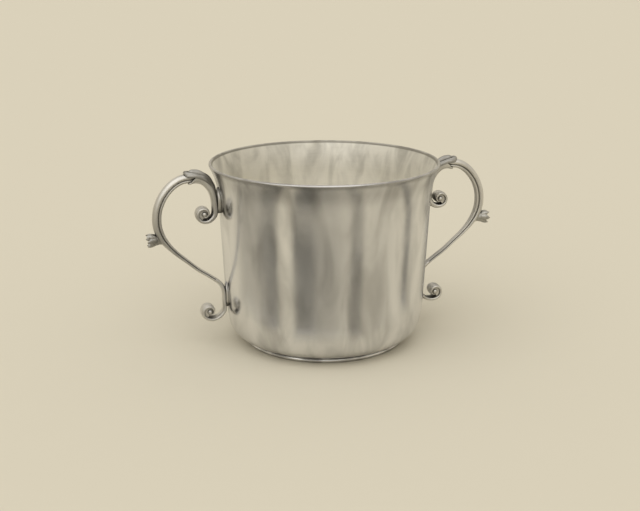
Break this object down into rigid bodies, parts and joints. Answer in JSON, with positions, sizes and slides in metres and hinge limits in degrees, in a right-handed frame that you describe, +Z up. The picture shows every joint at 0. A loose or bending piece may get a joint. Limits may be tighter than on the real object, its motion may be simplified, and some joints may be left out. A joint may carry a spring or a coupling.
{
  "type": "caudle cup",
  "caption": "Silver drinking cup with a flared lip, gently tapered wall, rounded base on a moulded foot ring, and cast scroll handles with acanthus leaf, volutes and bud spur.",
  "frame": {"origin": "on the cup's axis, at the underside of the foot ring that it stands on", "axes": "+X along the handles, +Z up along the cup's axis, towards the rim"},
  "size_m": [0.1786, 0.114, 0.091],
  "materials": {
    "cup_silver": "gloss",
    "cast_silver": "satin"
  },
  "bodies": {
    "root": {"body": "cup_silver", "foot_ring": "cup_silver", "left_upper_pad": "cast_silver", "left_lower_pad": "cast_silver", "left_upper_scroll": "cast_silver", "left_lower_scroll": "cast_silver", "left_stem": "cast_silver", "left_acanthus_leaf": "cast_silver", "left_bud": "cast_silver", "right_upper_pad": "cast_silver", "right_lower_pad": "cast_silver", "right_upper_scroll": "cast_silver", "right_lower_scroll": "cast_silver", "right_stem": "cast_silver", "right_acanthus_leaf": "cast_silver", "right_bud": "cast_silver"}
  },
  "joints": []
}
